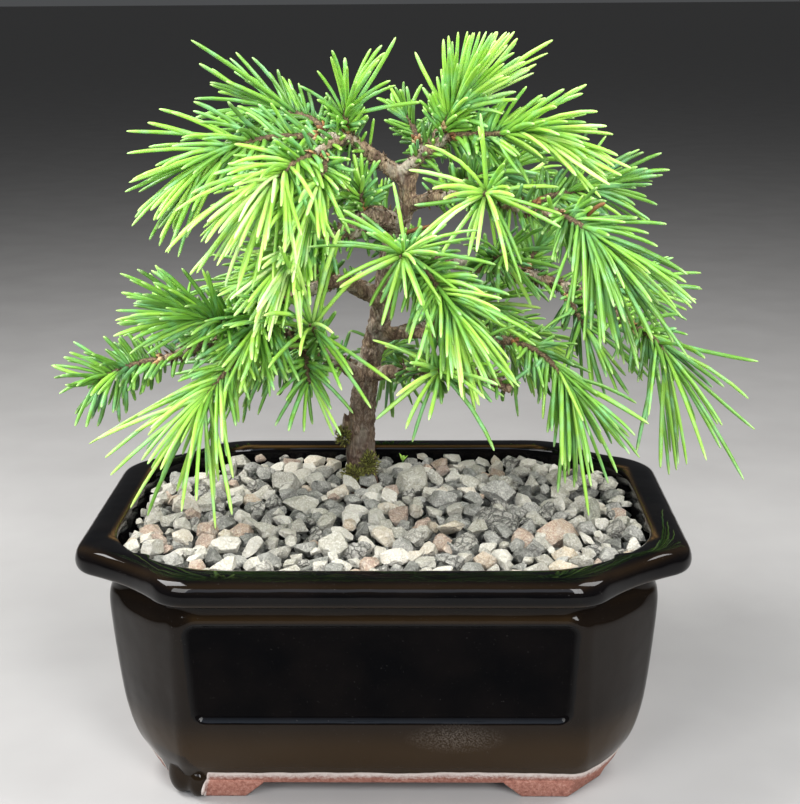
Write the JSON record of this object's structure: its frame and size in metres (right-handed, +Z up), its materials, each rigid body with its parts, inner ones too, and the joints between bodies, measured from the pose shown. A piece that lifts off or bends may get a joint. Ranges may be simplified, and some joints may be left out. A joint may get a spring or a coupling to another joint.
{
  "type": "prostrate deodar cedar bonsai in a pot",
  "caption": "Small weeping deodar cedar bonsai with tufted green needles, growing in gravel in a glossy black cut-corner pot on low feet.",
  "frame": {"origin": "on the surface it stands on, below the middle of the whole object", "axes": "+Z up, +X to the viewer's right across the pot's long side, -Y towards the viewer"},
  "size_m": [0.193, 0.155, 0.1931],
  "materials": {
    "glaze": "glossy black glaze over stoneware, bare terracotta band at the base",
    "drain_mesh": "moulded dark plastic mesh",
    "soil": "damp bark-based potting mix",
    "gravel": "dry matte grey crushed gravel",
    "bark": "rough flaking grey-brown bark",
    "needles": "living green needles, waxy satin"
  },
  "bodies": {
    "root": {"drain_mesh_left": "drain_mesh", "drain_mesh_right": "drain_mesh", "gravel": "gravel", "pot": "glaze", "soil": "soil", "spray_back_left_high": "needles", "spray_back_left_inner": "needles", "spray_back_left_low": "needles", "spray_back_left_middle": "needles", "spray_back_left_upper": "needles", "spray_back_low": "needles", "spray_back_middle": "needles", "spray_back_middle_high": "needles", "spray_back_right_high": "needles", "spray_back_right_inner": "needles", "spray_back_right_low": "needles", "spray_back_right_upper": "needles", "spray_centre_right": "needles", "spray_crown_back": "needles", "spray_crown_left": "needles", "spray_crown_middle": "needles", "spray_crown_right": "needles", "spray_crown_right_long": "needles", "spray_left_far": "needles", "spray_left_hanging": "needles", "spray_left_high": "needles", "spray_left_inner": "needles", "spray_left_low_back": "needles", "spray_left_low_fan": "needles", "spray_left_middle": "needles", "spray_left_outer": "needles", "spray_left_tuft": "needles", "spray_middle_drooping": "needles", "spray_right_back": "needles", "spray_right_inner_tuft": "needles", "spray_right_low_fan": "needles", "spray_right_outer": "needles", "spray_right_shoulder": "needles", "spray_right_under": "needles", "spray_right_upper": "needles", "spray_star_left": "needles", "spray_star_low": "needles", "spray_star_middle": "needles", "spray_star_upper": "needles", "spray_top_left_crown": "needles", "spray_top_left_front": "needles", "spray_top_left_low": "needles", "spray_top_left_outer": "needles", "wood": "bark"}
  },
  "joints": []
}
